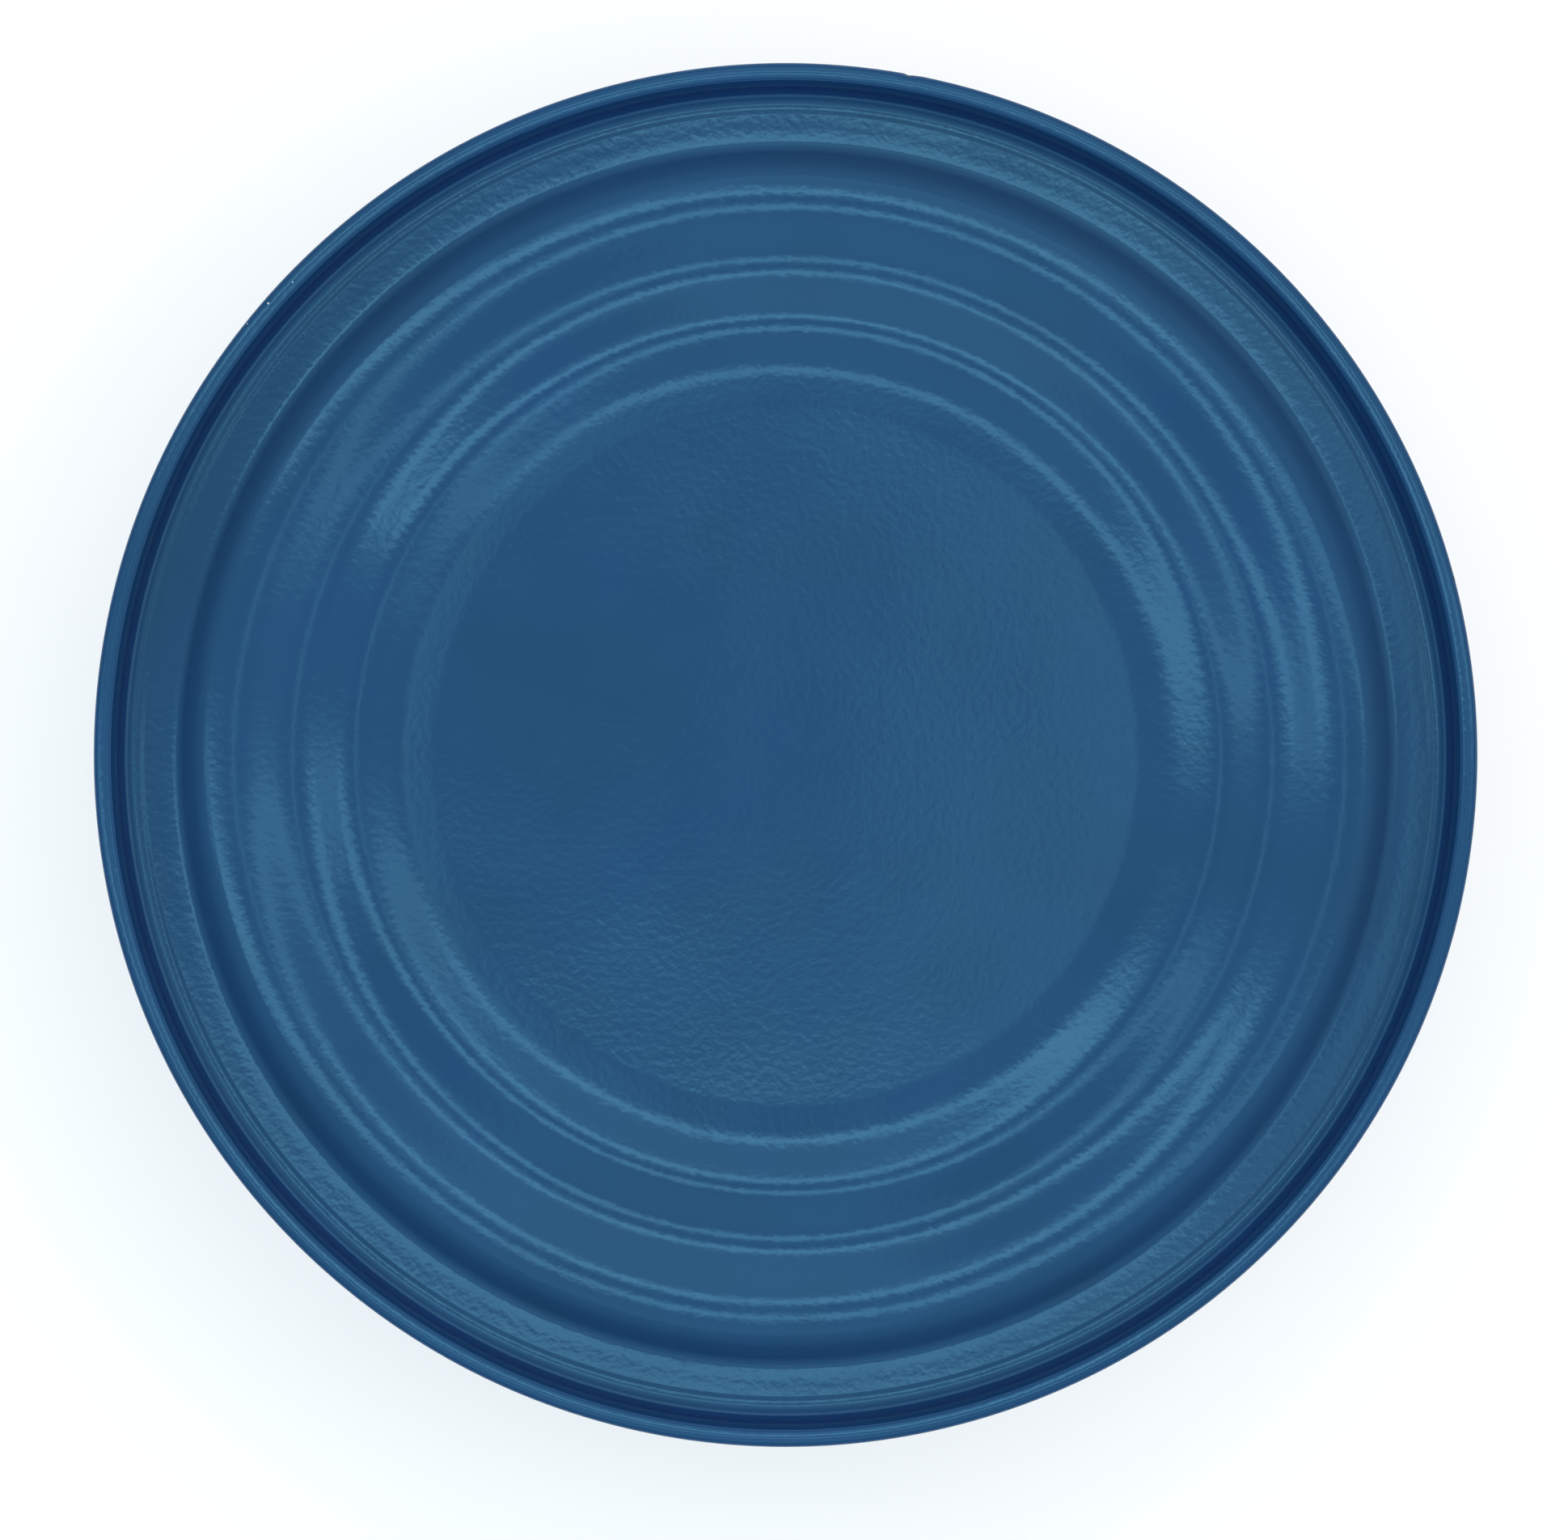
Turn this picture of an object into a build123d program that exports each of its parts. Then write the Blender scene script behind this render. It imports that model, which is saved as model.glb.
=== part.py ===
"""Round three-piece steel can, closed at both ends by double seams.

The can stands on its bottom end. The origin is the centre of the circle that it stands on, +Z is up, and
all sizes are in millimetres. Each sheet-metal piece is the profile of one of its faces, with the plate's
thickness on its right-hand side, turned about the Z axis.
"""

from build123d import *
import os

# Overall sizes
seam_diameter = 103.2
can_height = 119.1

# Plates, and the room between the folded layers of a seam
end_plate = 0.26
body_plate = 0.22
layer_gap = 0.03
compound_gap = 0.02

# Double seam: each hook's tip stops short of the fold that it points into
seam_length = 3.0
body_hook_room = 0.49
cover_hook_room = 0.43
fold_inner_radius = 0.12

# End panel: depths are below the seam's crown, and a radius is where two bands of the panel meet
countersink_depth = 4.2
countersink_corner_radius = 1.2
chuck_wall_lean = 0.49
floor_width = 1.32
crease_width = 0.32
crease_height = 0.05
crease_radius = 0.4
ledge_width = 2.49
ledge_height = 0.035
shoulder_foot_radius = 2.0
shoulder_width = 1.62
shoulder_height = 0.76
shoulder_top_radius = 4.4
outer_slope_width = 2.54
outer_slope_height = 0.24
outer_ridge_radius = 11.5
rising_band_width = 4.76
rising_band_height = 0.95
valley_radius = 9.6
falling_band_width = 4.0
falling_band_height = 0.55
inner_ridge_radius = 8.3
inner_band_width = 3.71
inner_band_height = 0.5
inner_foot_radius = 16.0
panel_rim_width = 2.6
panel_rim_height = 0.09
panel_edge_radius = 20.0

# Body wall
bead_count = 18
bead_pitch = 3.8
bead_depth = 0.95
bead_radius = 2.0
weld_proud = 0.06
weld_sink = 0.05
weld_angle = 1.0

# Layers of the seam, from the outside inwards: each value is the radius of a face
seam_radius = seam_diameter / 2
seaming_wall_inner = seam_radius - end_plate
body_hook_outer = seaming_wall_inner - layer_gap
body_hook_inner = body_hook_outer - body_plate
cover_hook_outer = body_hook_inner - layer_gap
cover_hook_inner = cover_hook_outer - end_plate
body_outer = cover_hook_inner - layer_gap
body_inner = body_outer - body_plate
chuck_wall_outer = body_inner - layer_gap
chuck_wall_inner = chuck_wall_outer - end_plate

# Depths of the seam's layers below its crown
body_fold_depth = end_plate + layer_gap
body_hook_depth = seam_length - end_plate - body_hook_room
cover_hook_depth = body_fold_depth + body_plate + cover_hook_room

# Radii where the bands of the end panel meet, from the chuck wall inwards
floor_edge = chuck_wall_inner - chuck_wall_lean
crease_foot = floor_edge - floor_width
crease_top = crease_foot - crease_width
shoulder_foot = crease_top - ledge_width
shoulder_top = shoulder_foot - shoulder_width
outer_ridge = shoulder_top - outer_slope_width
valley = outer_ridge - rising_band_width
inner_ridge = valley - falling_band_width
inner_foot = inner_ridge - inner_band_width
panel_edge = inner_foot - panel_rim_width

# Depths of the same places below the crown
crease_top_depth = countersink_depth - crease_height
shoulder_foot_depth = crease_top_depth + ledge_height
shoulder_top_depth = shoulder_foot_depth - shoulder_height
outer_ridge_depth = shoulder_top_depth - outer_slope_height
valley_depth = outer_ridge_depth + rising_band_height
inner_ridge_depth = valley_depth - falling_band_height
inner_foot_depth = inner_ridge_depth + inner_band_height
panel_depth = inner_foot_depth + panel_rim_height

os.makedirs("parts", exist_ok=True)


def save(part, name):
    part.label = name
    export_step(part, f"parts/{name}.step")


def fold_radius(plate):
    """Radius of the outside of a sheet folded back on itself."""
    return plate + fold_inner_radius


def end_profile():
    """Outer face of an end, from its centre to the tip of its cover hook, as (radius, height, corner)."""
    fold = fold_radius(end_plate)
    face = [
        (0, panel_depth, None),
        (panel_edge, panel_depth, panel_edge_radius),
        (inner_foot, inner_foot_depth, inner_foot_radius),
        (inner_ridge, inner_ridge_depth, inner_ridge_radius),
        (valley, valley_depth, valley_radius),
        (outer_ridge, outer_ridge_depth, outer_ridge_radius),
        (shoulder_top, shoulder_top_depth, shoulder_top_radius),
        (shoulder_foot, shoulder_foot_depth, shoulder_foot_radius),
        (crease_top, crease_top_depth, crease_radius),
        (crease_foot, countersink_depth, crease_radius),
        (floor_edge, countersink_depth, countersink_corner_radius),
        (chuck_wall_inner, 0, fold),
        (seam_radius, 0, fold),
        (seam_radius, seam_length, fold),
        (cover_hook_inner, seam_length, fold),
        (cover_hook_inner, cover_hook_depth, None),
    ]
    return [(radius, can_height - depth, corner) for radius, depth, corner in face]


def bead_profile(face_radius):
    """One face of the beaded wall between the seams, from the bottom up, as (radius, height, corner)."""
    bottom = can_height / 2 - bead_count * bead_pitch / 2
    face = [(face_radius, bottom, bead_radius)]
    for bead in range(bead_count):
        valley_height = bottom + (bead + 0.5) * bead_pitch
        face.append((face_radius - bead_depth, valley_height, bead_radius))
        face.append((face_radius, valley_height + bead_pitch / 2, bead_radius))
    return face


def body_profile():
    """Inner face of the body wall with the outer faces of its two hooks, from the bottom hook's tip."""
    fold = fold_radius(body_plate)
    return [
        (body_hook_outer, body_hook_depth, None),
        (body_hook_outer, body_fold_depth, fold),
        (body_inner, body_fold_depth, fold),
        *bead_profile(body_inner),
        (body_inner, can_height - body_fold_depth, fold),
        (body_hook_outer, can_height - body_fold_depth, fold),
        (body_hook_outer, can_height - body_hook_depth, None),
    ]


def weld_profile():
    """Inner face of the side weld, sunk a little into the wall, from the bottom seam to the top one."""
    face_radius = body_inner + weld_sink
    weld_end = seam_length + fold_radius(end_plate)
    return [
        (face_radius, weld_end, None),
        *bead_profile(face_radius),
        (face_radius, can_height - weld_end, None),
    ]


def parallel_profile(profile, distance):
    """The profile moved a distance to its right, with its corners' radii grown or shrunk to match."""
    points = [Vector(radius, height) for radius, height, corner in profile]
    runs = [(end - start).normalized() for start, end in zip(points, points[1:])]
    to_right = [Vector(run.Y, -run.X) for run in runs]
    moved = [points[0] + to_right[0] * distance]
    corners = [None]
    for index, (before, after) in enumerate(zip(to_right, to_right[1:]), start=1):
        moved.append(points[index] + (before + after) * (distance / (1 + before.dot(after))))
        turns_left = before.cross(after).Z > 0
        corners.append(profile[index][2] + (distance if turns_left else -distance))
    moved.append(points[-1] + to_right[-1] * distance)
    corners.append(None)
    return [(point.X, point.Y, corner) for point, corner in zip(moved, corners)]


def rounded_line(profile):
    """Draws a profile into the current line, with each inner corner rounded to its own radius."""
    points = [(radius, height) for radius, height, corner in profile]
    corners = [corner for radius, height, corner in profile[1:-1]]
    return FilletPolyline(*points, radius=corners)


def sheet_outline(profile, plate):
    """Draws a sheet's section into the current line: a profile with the plate on its right."""
    near_face = rounded_line(profile)
    far_face = rounded_line(parallel_profile(profile, plate))
    Line(near_face @ 0, far_face @ 0)
    Line(near_face @ 1, far_face @ 1)


# Top end: the face seen from above, with the plate below it
with BuildPart() as top_end:
    with BuildSketch(Plane.XZ):
        with BuildLine():
            sheet_outline(end_profile(), end_plate)
        make_face()
    revolve(axis=Axis.Z)
save(top_end.part, "top_end")

# Bottom end: the same pressing turned over
with BuildPart() as bottom_end:
    add(top_end.part)
    mirror(about=Plane.XY.offset(can_height / 2), mode=Mode.REPLACE)
save(bottom_end.part, "bottom_end")

# Body: beaded wall with a hook at each end, and the slightly proud weld of its side seam
with BuildPart() as can_body:
    with BuildSketch(Plane.XZ):
        with BuildLine():
            sheet_outline(body_profile(), body_plate)
        make_face()
    revolve(axis=Axis.Z)
    with BuildSketch(Plane.XZ):
        with BuildLine():
            sheet_outline(weld_profile(), body_plate - weld_sink + weld_proud)
        make_face()
    revolve(axis=Axis.Z, revolution_arc=weld_angle)
save(can_body.part, "can_body")

# Lining compound: one ring in the body's fold and one in the end's fold, in each seam
body_fold_floor = can_height - body_fold_depth - body_plate - compound_gap
cover_hook_tip = can_height - cover_hook_depth + compound_gap
end_fold_floor = can_height - seam_length + end_plate + compound_gap
body_hook_tip = can_height - body_hook_depth - compound_gap
compound_corner = fold_inner_radius - compound_gap

with BuildPart() as top_compound:
    with BuildSketch(Plane.XZ):
        with BuildLine():
            FilletPolyline(
                (body_outer + compound_gap, cover_hook_tip),
                (body_outer + compound_gap, body_fold_floor),
                (body_hook_inner - compound_gap, body_fold_floor),
                (body_hook_inner - compound_gap, cover_hook_tip),
                radius=compound_corner,
            )
            Line(
                (body_hook_inner - compound_gap, cover_hook_tip),
                (body_outer + compound_gap, cover_hook_tip),
            )
        make_face()
        with BuildLine():
            FilletPolyline(
                (cover_hook_outer + compound_gap, body_hook_tip),
                (cover_hook_outer + compound_gap, end_fold_floor),
                (seaming_wall_inner - compound_gap, end_fold_floor),
                (seaming_wall_inner - compound_gap, body_hook_tip),
                radius=compound_corner,
            )
            Line(
                (seaming_wall_inner - compound_gap, body_hook_tip),
                (cover_hook_outer + compound_gap, body_hook_tip),
            )
        make_face()
    revolve(axis=Axis.Z)
save(top_compound.part, "top_seam_compound")

with BuildPart() as bottom_compound:
    add(top_compound.part)
    mirror(about=Plane.XY.offset(can_height / 2), mode=Mode.REPLACE)
save(bottom_compound.part, "bottom_seam_compound")
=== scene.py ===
"""Round seamed steel can in blue spray enamel, on a pale floor, seen from straight above.

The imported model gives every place: the can stands on z = 0 with its axis along Z. Lengths in this
script are in millimetres, and the function metres turns them into Blender's units.
"""

import math

import bmesh
import bpy
from mathutils import Matrix, Vector, noise


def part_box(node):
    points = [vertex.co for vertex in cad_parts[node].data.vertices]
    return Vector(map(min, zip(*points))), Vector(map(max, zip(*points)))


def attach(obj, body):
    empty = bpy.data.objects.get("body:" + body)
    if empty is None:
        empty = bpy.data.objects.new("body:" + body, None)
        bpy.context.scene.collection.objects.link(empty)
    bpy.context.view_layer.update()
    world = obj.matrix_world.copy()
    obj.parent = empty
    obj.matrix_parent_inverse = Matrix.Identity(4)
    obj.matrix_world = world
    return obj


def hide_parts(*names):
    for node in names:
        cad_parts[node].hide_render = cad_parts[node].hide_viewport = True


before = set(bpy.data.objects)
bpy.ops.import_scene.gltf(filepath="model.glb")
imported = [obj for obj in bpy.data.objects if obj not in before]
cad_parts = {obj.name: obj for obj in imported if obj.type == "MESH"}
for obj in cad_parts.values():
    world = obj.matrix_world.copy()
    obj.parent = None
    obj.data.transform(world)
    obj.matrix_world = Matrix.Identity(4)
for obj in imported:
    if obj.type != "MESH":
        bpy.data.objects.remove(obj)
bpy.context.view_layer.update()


def metres(length):
    return length / 1000


def millimetres(length):
    return length * 1000


def per_metre(cell):
    """Scale of a noise whose cells are of a size in millimetres."""
    return 1 / metres(cell)


# Sizes of the can, read from the frame
top_low, top_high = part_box("top_end")
can_height = millimetres(top_high.z)
seam_radius = millimetres(top_high.x)

# Plates, and the folded layers of a seam
end_plate = 0.26
body_plate = 0.22
layer_gap = 0.03
seam_length = 3.0
body_hook_room = 0.49
cover_hook_room = 0.43
crown_rise = 0.08
fold_inner_radius = 0.12

# Radii of the faces in the seam, from the outside inwards
body_hook_outer = seam_radius - end_plate - layer_gap
cover_hook_inner = body_hook_outer - body_plate - layer_gap - end_plate
body_outer = cover_hook_inner - layer_gap
body_inner = body_outer - body_plate
chuck_wall = body_inner - layer_gap - end_plate

# Depths of the seam's layers below its crown
body_fold_depth = end_plate + layer_gap
body_hook_depth = seam_length - end_plate - body_hook_room
cover_hook_depth = body_fold_depth + body_plate + cover_hook_room

# Outer face of an end: radius, depth below the crown, and corner radius where two bands meet
FOLD = end_plate + fold_inner_radius
END_FACE = [
    (0.0, 4.175, None),
    (chuck_wall - 23.85, 4.175, 20.0),
    (chuck_wall - 21.25, 4.085, 16.0),
    (chuck_wall - 17.54, 3.585, 8.3),
    (chuck_wall - 13.54, 4.135, 9.6),
    (chuck_wall - 8.78, 3.185, 11.5),
    (chuck_wall - 6.24, 3.425, 4.4),
    (chuck_wall - 4.62, 4.185, 2.0),
    (chuck_wall - 2.13, 4.15, 0.3),
    (chuck_wall - 1.81, 4.2, 0.4),
    (chuck_wall - 0.49, 4.2, 1.2),
    (chuck_wall, crown_rise, FOLD),
    ((chuck_wall + seam_radius) / 2, 0.0, 1.5),
    (seam_radius, crown_rise, FOLD),
    (seam_radius, seam_length, FOLD),
    (cover_hook_inner, seam_length, FOLD),
    (cover_hook_inner, cover_hook_depth, None),
]

# Beads of the body wall
bead_count = 18
bead_pitch = 3.8
bead_depth = 0.95
bead_radius = 2.0

# Side weld: how far it stands out of the wall and is sunk into it, and its width in degrees
weld_proud = 0.06
weld_sink = 0.05
weld_angle = 1.0

# Unevenness of the pressed panels: its waves' depth and width, and the edge that they fade out at
WAVE_DEPTH = 0.03
WAVE_WIDTH = 11.0
WAVE_EDGE = 2.0
WAVE_FADE = 4.0

# Nick in the top seam's outer corner. The mesh's columns within its reach, in degrees, are
# gathered towards it, and it sinks as a share of its depth.
NICK_AZIMUTH = 79.7
NICK_REACH = 5.0
NICK_GATHERING = 1.8
NICK_WIDTH = 0.5
NICK_DEPTH = 0.15
NICK_SINK = 0.6
NICK_INWARDS = 0.45
NICK_DOWNWARDS = 1.2

# Fineness of the meshes: steps of a full turn, longest straight step, and degrees of an arc's step
END_TURNS = 320
BODY_TURNS = 150
WELD_TURNS = 2
LONGEST_STEP = 1.5
END_ARC_STEP = 7.0
BODY_ARC_STEP = 12.0
FEWEST_ARC_STEPS = 4
MERGED_WITHIN = 0.001
SHARP_FROM_ANGLE = 35


# ---------------------------------------------------------------- sheet metal

def extrude_to(bm, vertex, point):
    """Draws one straight edge from a vertex and returns its far end."""
    new = bmesh.ops.extrude_vert_indiv(bm, verts=[vertex])["verts"][0]
    bmesh.ops.translate(bm, verts=[new], vec=point - vertex.co)
    return new


def draw_run(bm, vertex, point):
    """Draws a straight run in steps no longer than LONGEST_STEP."""
    run = point - vertex.co
    steps = max(1, math.ceil(run.length / metres(LONGEST_STEP)))
    start = vertex.co.copy()
    for step in range(1, steps + 1):
        vertex = extrude_to(bm, vertex, start + run * step / steps)
    return vertex


def draw_arc(bm, vertex, centre, turn, steps):
    """Spins a vertex about a centre in the XZ plane and returns the arc's far end."""
    spun = bmesh.ops.spin(bm, geom=[vertex], cent=centre, axis=(0, -1, 0),
                          angle=turn, steps=steps)
    return [item for item in spun["geom_last"] if isinstance(item, bmesh.types.BMVert)][0]


def rounded_line(bm, corners, arc_step):
    """Draws a line through corners given as (x, z, corner radius), where no radius is a sharp
    corner. An arc has a vertex every arc_step degrees or closer."""
    points = [Vector((metres(x), 0, metres(z))) for x, z, _ in corners]
    vertex = bm.verts.new(points[0])
    for index in range(1, len(points) - 1):
        if corners[index][2] is None:
            vertex = draw_run(bm, vertex, points[index])
            continue
        incoming = (points[index] - points[index - 1]).normalized()
        outgoing = (points[index + 1] - points[index]).normalized()
        turn = math.atan2(incoming.x * outgoing.z - incoming.z * outgoing.x,
                          incoming.dot(outgoing))
        radius = metres(corners[index][2])
        reach = radius * math.tan(abs(turn) / 2)
        vertex = draw_run(bm, vertex, points[index] - incoming * reach)
        left = Vector((-incoming.z, 0, incoming.x))
        centre = vertex.co + left * math.copysign(radius, turn)
        steps = max(FEWEST_ARC_STEPS, math.ceil(abs(math.degrees(turn)) / arc_step))
        vertex = draw_arc(bm, vertex, centre, turn, steps)
    draw_run(bm, vertex, points[-1])


def parallel_line(corners, distance):
    """The line moved a distance to its right, with corner radii grown or shrunk to match."""
    points = [Vector((x, z)) for x, z, _ in corners]
    runs = [(end - start).normalized() for start, end in zip(points, points[1:])]
    rights = [Vector((run.y, -run.x)) for run in runs]
    moved = [points[0] + rights[0] * distance]
    radii = [None]
    for index, (before, after) in enumerate(zip(rights, rights[1:]), start=1):
        aside = (before + after) * (distance / (1 + before.dot(after)))
        moved.append(points[index] + aside)
        turns_left = before.cross(after) > 0
        radii.append(corners[index][2] + (distance if turns_left else -distance))
    moved.append(points[-1] + rights[-1] * distance)
    radii.append(None)
    return [(point.x, point.y, radius) for point, radius in zip(moved, radii)]


def turned_sheet(corners, plate, turns, arc_step):
    """Turns a sheet's section about the Z axis: a line of corners with the plate on its right."""
    bm = bmesh.new()
    section = corners + parallel_line(corners, plate)[::-1]
    if corners[0][0] > 0:
        section.append(corners[0])
    rounded_line(bm, section, arc_step)
    bmesh.ops.spin(bm, geom=bm.verts[:] + bm.edges[:], cent=(0, 0, 0), axis=(0, 0, 1),
                   angle=math.tau, steps=turns, use_merge=True)
    bmesh.ops.remove_doubles(bm, verts=bm.verts, dist=metres(MERGED_WITHIN))
    bmesh.ops.recalc_face_normals(bm, faces=bm.faces)
    return bm


def turned_solid(corners, plate, angle):
    """Turns a sheet's section through part of a circle, from the X axis, with closed ends."""
    bm = bmesh.new()
    section = corners + parallel_line(corners, plate)[::-1] + [corners[0]]
    rounded_line(bm, section, BODY_ARC_STEP)
    bmesh.ops.remove_doubles(bm, verts=bm.verts, dist=metres(MERGED_WITHIN))
    start = bmesh.ops.contextual_create(bm, geom=bm.edges[:])["faces"]
    bmesh.ops.spin(bm, geom=start, cent=(0, 0, 0), axis=(0, 0, 1),
                   angle=math.radians(angle), steps=WELD_TURNS)
    bmesh.ops.recalc_face_normals(bm, faces=bm.faces)
    return bm


def rim_nick(bm):
    """Dents the seam's outer corner, with the columns of the mesh gathered towards the dent."""
    for vertex in bm.verts:
        place = vertex.co
        radius = math.hypot(place.x, place.y)
        turn = math.degrees(math.atan2(place.y, place.x)) - NICK_AZIMUTH
        turn = (turn + 180) % 360 - 180
        if abs(turn) < NICK_REACH and radius > 0:
            gathered = NICK_REACH * (abs(turn) / NICK_REACH) ** NICK_GATHERING
            gathered = math.copysign(gathered, turn)
            azimuth = math.radians(NICK_AZIMUTH + gathered)
            outwards = Vector((math.cos(azimuth), math.sin(azimuth)))
            place.xy = outwards * radius
            inwards = metres(seam_radius) - radius
            downwards = metres(can_height) - place.z
            off_centre = math.radians(gathered) * radius / metres(NICK_WIDTH / 2)
            dent = metres(NICK_DEPTH) * math.exp(-off_centre ** 2)
            dent *= max(0.0, 1 - inwards / metres(NICK_INWARDS))
            dent *= max(0.0, 1 - downwards / metres(NICK_DOWNWARDS))
            place.xy -= outwards * dent
            place.z -= NICK_SINK * dent


def faces_inside(face, on_wall):
    """Whether a face of the wall or of an end looks into the closed can, out of spray's reach."""
    radius = math.hypot(face.center.x, face.center.y)
    if on_wall:
        outward = face.normal.x * face.center.x + face.normal.y * face.center.y
        return radius < metres(body_outer) and outward < 0
    from_middle = face.center.z - metres(can_height / 2)
    return radius < metres(body_inner) and face.normal.z * from_middle < 0


def finished_piece(name, bm, node):
    """Makes a piece of a mesh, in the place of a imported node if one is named. Slot 0 of its
    materials is for painted faces and slot 1 for the can's inside."""
    mesh = bpy.data.meshes.new(name)
    bm.to_mesh(mesh)
    bm.free()
    on_wall = name in ("body_wall", "side_weld")
    for face in mesh.polygons:
        face.use_smooth = True
        face.material_index = int(faces_inside(face, on_wall))
    mesh.set_sharp_from_angle(angle=math.radians(SHARP_FROM_ANGLE))
    piece = bpy.data.objects.new(name, mesh)
    bpy.context.scene.collection.objects.link(piece)
    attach(piece, "root")
    if node:
        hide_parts(node)
    return piece


def standing_on(corners, crown_height, direction):
    """Places a face that is given by its depths, up or down from its crown's height."""
    return [(radius, crown_height + direction * depth, corner)
            for radius, depth, corner in corners]


def panel_waves(bm, seed):
    """Bends the panel as pressed and handled plate is bent, but not the seam."""
    for vertex in bm.verts:
        from_edge = metres(chuck_wall - WAVE_EDGE) - math.hypot(vertex.co.x, vertex.co.y)
        fade = min(1.0, max(0.0, from_edge / metres(WAVE_FADE)))
        place = Vector((vertex.co.x, vertex.co.y, 0)) / metres(WAVE_WIDTH)
        vertex.co.z += metres(WAVE_DEPTH) * fade * noise.noise(place + Vector((seed, 0, 0)))


def bead_face(face_radius):
    """Inner face of the beaded wall, from the bottom up."""
    bottom = can_height / 2 - bead_count * bead_pitch / 2
    face = [(face_radius, bottom, bead_radius)]
    for bead in range(bead_count):
        valley_height = bottom + (bead + 0.5) * bead_pitch
        face.append((face_radius - bead_depth, valley_height, bead_radius))
        face.append((face_radius, valley_height + bead_pitch / 2, bead_radius))
    return face


def body_face():
    """Inner face of the body wall with the outer faces of its hooks, from the bottom hook's tip."""
    fold = body_plate + fold_inner_radius
    return [
        (body_hook_outer, body_hook_depth, None),
        (body_hook_outer, body_fold_depth, fold),
        (body_inner, body_fold_depth, fold),
        *bead_face(body_inner),
        (body_inner, can_height - body_fold_depth, fold),
        (body_hook_outer, can_height - body_fold_depth, fold),
        (body_hook_outer, can_height - body_hook_depth, None),
    ]


# Top end
top_face = standing_on(END_FACE, can_height, -1)
top_mesh = turned_sheet(top_face, end_plate, END_TURNS, END_ARC_STEP)
panel_waves(top_mesh, seed=3.0)
rim_nick(top_mesh)
top_panel = finished_piece("top_end_panel", top_mesh, "top_end")

# Bottom end: the same pressing upside down, so its plate is on the other side of the line
bottom_face = standing_on(END_FACE, 0, 1)
bottom_mesh = turned_sheet(bottom_face, -end_plate, END_TURNS, END_ARC_STEP)
panel_waves(bottom_mesh, seed=8.0)
bottom_panel = finished_piece("bottom_end_panel", bottom_mesh, "bottom_end")

# Body
wall_mesh = turned_sheet(body_face(), body_plate, BODY_TURNS, BODY_ARC_STEP)
body_wall = finished_piece("body_wall", wall_mesh, "can_body")

# Side weld: a strip along the wall, sunk a little into it and standing proud of it
weld_end = seam_length + FOLD
weld_face = [
    (body_inner + weld_sink, weld_end, None),
    *bead_face(body_inner + weld_sink),
    (body_inner + weld_sink, can_height - weld_end, None),
]
weld_mesh = turned_solid(weld_face, body_plate - weld_sink + weld_proud, weld_angle)
weld = finished_piece("side_weld", weld_mesh, None)


# ---------------------------------------------------------------- finishes

# Marks of the rim: azimuth in degrees, distance in from the can's edge, depth below its top, size
BRIGHT_SPECKS = [
    (138.9, 0.42, 0.02, 0.06),
    (141.3, 0.2, 0.1, 0.05),
    (136.2, 0.7, 0.0, 0.04),
]
DARK_CHIPS = [
    (79.7, 0.12, 0.2, 0.14),
    (14.8, 0.05, 0.3, 0.16),
    (15.6, 0.1, 0.2, 0.1),
]


def linear(hex_colour):
    """Turns an sRGB hex colour into a linear one."""
    channels = [int(hex_colour[i:i + 2], 16) / 255 for i in (1, 3, 5)]
    return [c / 12.92 if c <= 0.04045 else ((c + 0.055) / 1.055) ** 2.4 for c in channels] + [1.0]


def add_node(tree, kind, settings=None, links=None):
    """Adds a node, sets its sockets and properties by name, and links sockets to it by name."""
    node = tree.nodes.new(kind)
    for key, value in (settings or {}).items():
        if isinstance(key, str) and hasattr(node, key):
            setattr(node, key, value)
        else:
            node.inputs[key].default_value = value
    for key, source in (links or {}).items():
        tree.links.new(source, node.inputs[key])
    return node


def new_material(name):
    material = bpy.data.materials.new(name)
    material.use_nodes = True
    material.node_tree.nodes.clear()
    return material, material.node_tree


def ragged_spot(tree, place, ragged, mark):
    """One inside a ragged mark on the top rim and nought outside."""
    azimuth, inset, drop, size = mark
    azimuth = math.radians(azimuth)
    radius = metres(seam_radius - inset)
    away = add_node(tree, "ShaderNodeVectorMath", {"operation": "DISTANCE"}, {0: place})
    away.inputs[1].default_value = (radius * math.cos(azimuth), radius * math.sin(azimuth),
                                    metres(can_height - drop))
    reach = add_node(tree, "ShaderNodeMath",
                     {"operation": "MULTIPLY_ADD", 1: metres(size), 2: metres(size) / 2},
                     {0: ragged})
    inside_spot = add_node(tree, "ShaderNodeMath", {"operation": "LESS_THAN"},
                           {0: away.outputs["Value"], 1: reach.outputs["Value"]})
    return inside_spot.outputs["Value"]


def tinplate_shader(tree, place):
    """Bright tinned steel: the grain of the rolled plate streaks its reflections."""
    along_grain = add_node(tree, "ShaderNodeMapping", {"Scale": (0.08, 1.0, 1.0)},
                           {"Vector": place})
    grain = add_node(tree, "ShaderNodeTexNoise", {"Scale": per_metre(0.15), "Detail": 2.0},
                     {"Vector": along_grain.outputs["Vector"]})
    roughness = add_node(tree, "ShaderNodeMapRange", {"To Min": 0.22, "To Max": 0.4},
                         {"Value": grain.outputs["Fac"]})
    tone = add_node(tree, "ShaderNodeMix", {"data_type": "RGBA"}, {0: grain.outputs["Fac"]})
    tone.inputs[6].default_value = linear("#A9ACAD")
    tone.inputs[7].default_value = linear("#CDD0D0")
    metal = add_node(tree, "ShaderNodeBsdfPrincipled", {"Metallic": 1.0},
                     {"Base Color": tone.outputs[2], "Roughness": roughness.outputs["Result"]})
    return metal.outputs["BSDF"]


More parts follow.
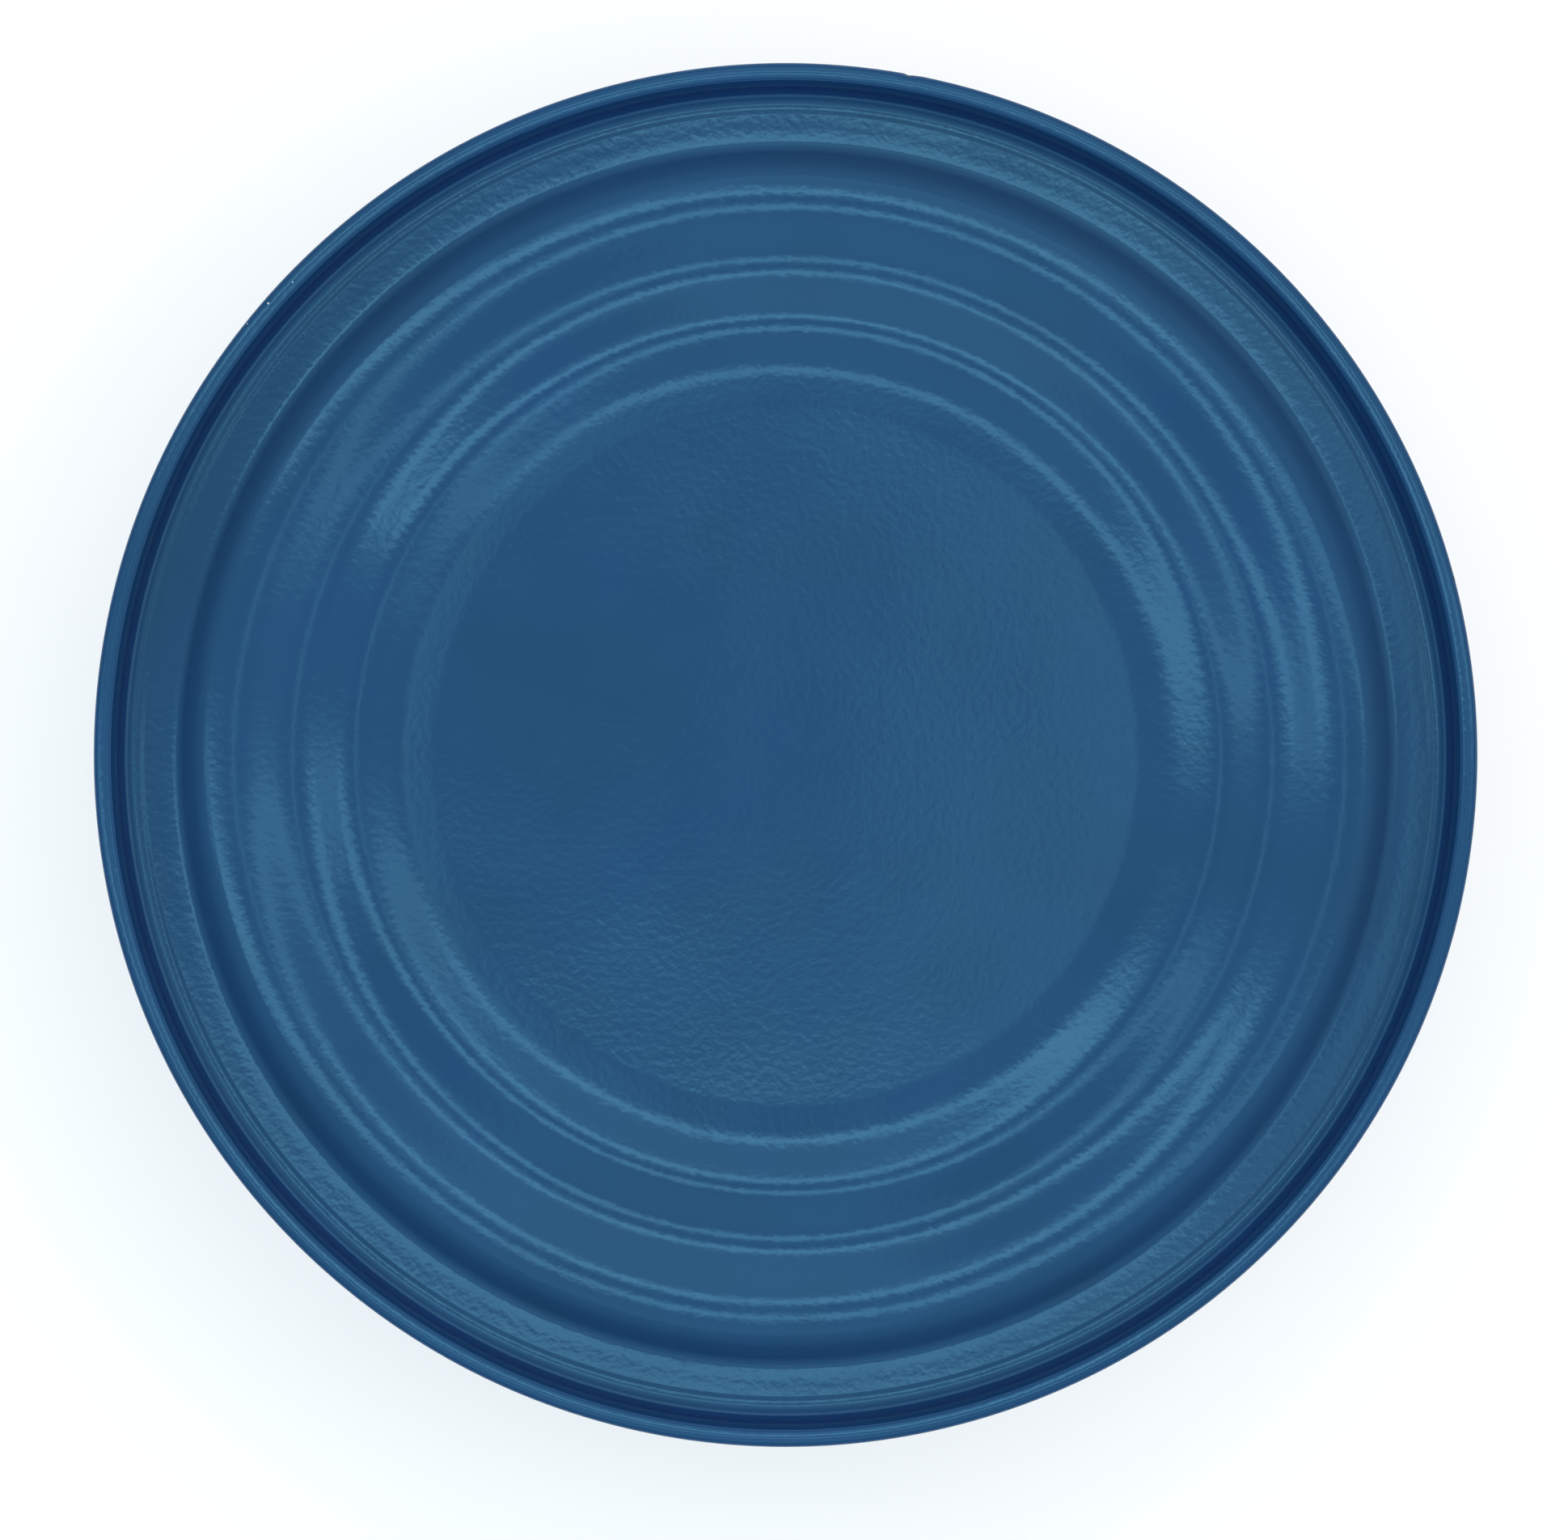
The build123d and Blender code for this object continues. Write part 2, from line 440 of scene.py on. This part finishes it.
def blue_enamel():
    """Gloss enamel sprayed on tinplate: its orange peel ripples the edges of reflections, its
    depth of colour drifts with the thickness of the coat, and it is rubbed through on the ring
    that the can stands on."""
    material, tree = new_material("blue_spray_enamel")
    place = add_node(tree, "ShaderNodeTexCoord").outputs["Object"]

    # Orange peel, and slower swells where the wet coat flowed
    peel = add_node(tree, "ShaderNodeTexNoise", {"Scale": per_metre(0.55), "Detail": 1.0},
                    {"Vector": place})
    peel_bump = add_node(tree, "ShaderNodeBump", {"Strength": 1.0, "Distance": metres(0.008)},
                         {"Height": peel.outputs["Fac"]})
    swell = add_node(tree, "ShaderNodeTexNoise", {"Scale": per_metre(3.0), "Detail": 1.0},
                     {"Vector": place})
    bump = add_node(tree, "ShaderNodeBump", {"Strength": 1.0, "Distance": metres(0.006)},
                    {"Height": swell.outputs["Fac"], "Normal": peel_bump.outputs["Normal"]})

    # Thick and thin places of the coat, and places where dry spray settled on it
    thickness = add_node(tree, "ShaderNodeTexNoise", {"Scale": per_metre(14.0), "Detail": 2.0},
                         {"Vector": place})
    drift = add_node(tree, "ShaderNodeMapRange", {"From Min": 0.3, "From Max": 0.7},
                     {"Value": thickness.outputs["Fac"]})
    coat = add_node(tree, "ShaderNodeMix", {"data_type": "RGBA"}, {0: drift.outputs["Result"]})
    coat.inputs[6].default_value = linear("#042852")
    coat.inputs[7].default_value = linear("#052B5A")
    dry_spray = add_node(tree, "ShaderNodeTexNoise", {"Scale": per_metre(5.0), "Detail": 2.0},
                         {"Vector": place})
    haze = add_node(tree, "ShaderNodeMapRange", {"To Min": 0.115, "To Max": 0.15},
                    {"Value": dry_spray.outputs["Fac"]})
    paint = add_node(tree, "ShaderNodeBsdfPrincipled",
                     {"IOR": 1.576, "Specular Tint": (0.25, 0.72, 1.0, 1.0)},
                     {"Base Color": coat.outputs[2], "Roughness": haze.outputs["Result"],
                      "Normal": bump.outputs["Normal"]})

    # Bare metal: the foot ring rubbed through in patches, and specks chipped from the rim
    axes = add_node(tree, "ShaderNodeSeparateXYZ", links={"Vector": place})
    foot = add_node(tree, "ShaderNodeMapRange",
                    {"From Min": metres(0.1), "From Max": metres(0.02)},
                    {"Value": axes.outputs["Z"]})
    rubbing = add_node(tree, "ShaderNodeTexNoise", {"Scale": per_metre(2.5), "Detail": 3.0},
                       {"Vector": place})
    patches = add_node(tree, "ShaderNodeMapRange", {"From Min": 0.42, "From Max": 0.5},
                       {"Value": rubbing.outputs["Fac"]})
    bare = add_node(tree, "ShaderNodeMath", {"operation": "MULTIPLY"},
                    {0: foot.outputs["Result"], 1: patches.outputs["Result"]})
    edges = add_node(tree, "ShaderNodeTexNoise", {"Scale": per_metre(0.12), "Detail": 3.0},
                     {"Vector": place})
    for mark in BRIGHT_SPECKS:
        speck = ragged_spot(tree, place, edges.outputs["Fac"], mark)
        bare = add_node(tree, "ShaderNodeMath", {"operation": "MAXIMUM"},
                        {0: bare.outputs["Value"], 1: speck})
    metal = tinplate_shader(tree, place)
    worn = add_node(tree, "ShaderNodeMixShader",
                    links={0: bare.outputs["Value"], 1: paint.outputs["BSDF"], 2: metal})

    # Chips at the rim's edge that have gone dark with rust
    rust = add_node(tree, "ShaderNodeBsdfPrincipled",
                    {"Base Color": linear("#1B1512"), "Roughness": 0.8})
    coated = worn.outputs["Shader"]
    for mark in DARK_CHIPS:
        chip = ragged_spot(tree, place, edges.outputs["Fac"], mark)
        chipped = add_node(tree, "ShaderNodeMixShader",
                           links={0: chip, 1: coated, 2: rust.outputs["BSDF"]})
        coated = chipped.outputs["Shader"]
    add_node(tree, "ShaderNodeOutputMaterial", links={"Surface": coated})
    return material


def tinplate():
    """Unpainted inner face of the plates."""
    material, tree = new_material("bright_tinplate")
    place = add_node(tree, "ShaderNodeTexCoord").outputs["Object"]
    metal = tinplate_shader(tree, place)
    add_node(tree, "ShaderNodeOutputMaterial", links={"Surface": metal})
    return material


def lining_compound():
    """Cured water-based rubber: chalky, with fine pinholes left by the water."""
    material, tree = new_material("cured_lining_compound")
    place = add_node(tree, "ShaderNodeTexCoord").outputs["Object"]
    chalk = add_node(tree, "ShaderNodeTexNoise", {"Scale": per_metre(1.5), "Detail": 4.0},
                     {"Vector": place})
    tone = add_node(tree, "ShaderNodeMix", {"data_type": "RGBA"}, {0: chalk.outputs["Fac"]})
    tone.inputs[6].default_value = linear("#8A8273")
    tone.inputs[7].default_value = linear("#A39B8A")
    pinholes = add_node(tree, "ShaderNodeTexNoise", {"Scale": per_metre(0.08), "Detail": 1.0},
                        {"Vector": place})
    bump = add_node(tree, "ShaderNodeBump", {"Strength": 1.0, "Distance": metres(0.01)},
                    {"Height": pinholes.outputs["Fac"]})
    rubber = add_node(tree, "ShaderNodeBsdfPrincipled", {"Roughness": 0.75},
                      {"Base Color": tone.outputs[2], "Normal": bump.outputs["Normal"]})
    add_node(tree, "ShaderNodeOutputMaterial", links={"Surface": rubber.outputs["BSDF"]})
    return material


enamel = blue_enamel()
inside = tinplate()
for piece in (top_panel, bottom_panel, body_wall, weld):
    piece.data.materials.append(enamel)
    piece.data.materials.append(inside)
rubber = lining_compound()
for name in ("top_seam_compound", "bottom_seam_compound"):
    bpy.data.objects[name].material_slots[0].material = rubber


# ---------------------------------------------------------------- studio

# Radiance of the studio by the height of a direction, from the horizon at 0 to straight up at 1
SKY_BANDS = [(0.0, 1.0), (0.12, 1.2), (0.35, 1.5), (0.5, 0.9), (0.62, 0.76),
             (0.75, 1.02), (0.87, 1.36), (0.94, 1.45), (0.985, 1.2), (1.0, 1.1)]
BRIGHTEST = 2.0
STUDIO_LEVEL = 1.05

# The studio's upper right is brighter and warmer than its lower left, which leaves a soft bluish
# shadow there. The lean is for each channel, as a share of its level.
BRIGHT_SIDE = (0.71, 0.71, 0)
SIDE_LEAN = (0.28, 0.18, 0.13)

# Two long soft strips in stretches, brightest a little to the left. Angles are in degrees, as
# the can's centre sees them: where a strip lies across and how wide it is, then each stretch's
# place along it, its length and its share of the strip's radiance.
FAR_STRIP = {"across": 6.3, "width": 3.4, "radiance": 4.5, "stretches": [
    ("end", -20.2, 7.6, 0.15), ("bright", -10.2, 12.4, 0.74), ("middle", 1, 10, 0.78),
    ("dim", 13.5, 15, 0.4)]}
NEAR_STRIP = {"across": -5.2, "width": 3.6, "radiance": 3.85, "stretches": [
    ("end", -19.5, 9, 0.34), ("bright", -9.5, 11, 0.74), ("middle", 1, 10, 0.78),
    ("dim", 12, 12, 0.4)]}
STRIP_TURN = -12
LIGHT_HEIGHT = 5000.0


def soft_strip(name, across, along, width, length, radiance, turn):
    """A soft light far above the can. Its place and size are angles in degrees, and it lies along
    X before it is turned about Z."""
    light = bpy.data.lights.new(name, "AREA")
    light.shape = "RECTANGLE"
    light.size = metres(LIGHT_HEIGHT * math.radians(length))
    light.size_y = metres(LIGHT_HEIGHT * math.radians(width))
    light.energy = radiance * 4 * light.size * light.size_y
    lamp = bpy.data.objects.new(name, light)
    place = Vector((math.radians(along), math.radians(across), 1)) * metres(LIGHT_HEIGHT)
    lamp.location = Matrix.Rotation(math.radians(turn), 4, "Z") @ place
    lamp.rotation_euler = (0, 0, math.radians(turn))
    bpy.context.scene.collection.objects.link(lamp)


world = bpy.data.worlds.new("studio")
world.use_nodes = True
bpy.context.scene.world = world
sky = world.node_tree
sky.nodes.clear()
direction = add_node(sky, "ShaderNodeTexCoord").outputs["Generated"]
axes = add_node(sky, "ShaderNodeSeparateXYZ", links={"Vector": direction})
bands = add_node(sky, "ShaderNodeValToRGB", links={"Fac": axes.outputs["Z"]})
ramp = bands.color_ramp
for height, _ in SKY_BANDS[1:-1]:
    ramp.elements.new(height)
for stop, (height, radiance) in zip(ramp.elements, SKY_BANDS):
    stop.position = height
    stop.color = (radiance / BRIGHTEST,) * 3 + (1,)
side = add_node(sky, "ShaderNodeVectorMath", {"operation": "DOT_PRODUCT"}, {0: direction})
side.inputs[1].default_value = BRIGHT_SIDE
lean = add_node(sky, "ShaderNodeVectorMath", {"operation": "MULTIPLY_ADD"},
                {0: side.outputs["Value"]})
lean.inputs[1].default_value = SIDE_LEAN
lean.inputs[2].default_value = (1, 1, 1)
leaning_bands = add_node(sky, "ShaderNodeVectorMath", {"operation": "MULTIPLY"},
                         {0: bands.outputs["Color"], 1: lean.outputs["Vector"]})
background = add_node(sky, "ShaderNodeBackground", {"Strength": STUDIO_LEVEL * BRIGHTEST},
                      {"Color": leaning_bands.outputs["Vector"]})
add_node(sky, "ShaderNodeOutputWorld", links={"Surface": background.outputs["Background"]})

for side_name, strip in (("far_strip", FAR_STRIP), ("near_strip", NEAR_STRIP)):
    for stretch, along, length, share in strip["stretches"]:
        soft_strip(f"{side_name}_{stretch}", strip["across"], along, strip["width"], length,
                   strip["radiance"] * share, STRIP_TURN)
soft_strip("far_glow", 15.5, 0, 12, 16, 0.5, STRIP_TURN)
soft_strip("near_glow", -16, 0, 12, 16, 0.4, STRIP_TURN)
soft_strip("side_strip", -2.6, 0, 1.4, 5, 1.9, 90)

# Floor
FLOOR_REACH = 3000.0
floor_bm = bmesh.new()
bmesh.ops.create_grid(floor_bm, x_segments=1, y_segments=1, size=metres(FLOOR_REACH))
floor_mesh = bpy.data.meshes.new("floor")
floor_bm.to_mesh(floor_mesh)
floor_bm.free()
floor = bpy.data.objects.new("floor", floor_mesh)
bpy.context.scene.collection.objects.link(floor)
floor_material, floor_tree = new_material("matt_white_board")
board = add_node(floor_tree, "ShaderNodeBsdfDiffuse", {"Color": linear("#FAFEFF")})
add_node(floor_tree, "ShaderNodeOutputMaterial", links={"Surface": board.outputs["BSDF"]})
floor_mesh.materials.append(floor_material)

# Camera: straight above the rim, which fills 88% of the frame's width
CAMERA_DISTANCE = 600.0
CAMERA_OFFSET = (-0.12, -1.12)
RIM_DEPTH = 1.5
RIM_SHARE = 0.881
SENSOR_WIDTH = 23.5
view_width = seam_radius * 2 / RIM_SHARE
lens = bpy.data.cameras.new("camera")
lens.sensor_width = SENSOR_WIDTH
lens.lens = SENSOR_WIDTH * CAMERA_DISTANCE / view_width
lens.clip_start = 0.01
lens.clip_end = 50
camera = bpy.data.objects.new("camera", lens)
camera.location = (metres(CAMERA_OFFSET[0]), metres(CAMERA_OFFSET[1]),
                   metres(can_height - RIM_DEPTH + CAMERA_DISTANCE))
bpy.context.scene.collection.objects.link(camera)
bpy.context.scene.camera = camera
bpy.context.scene.view_settings.view_transform = "Standard"
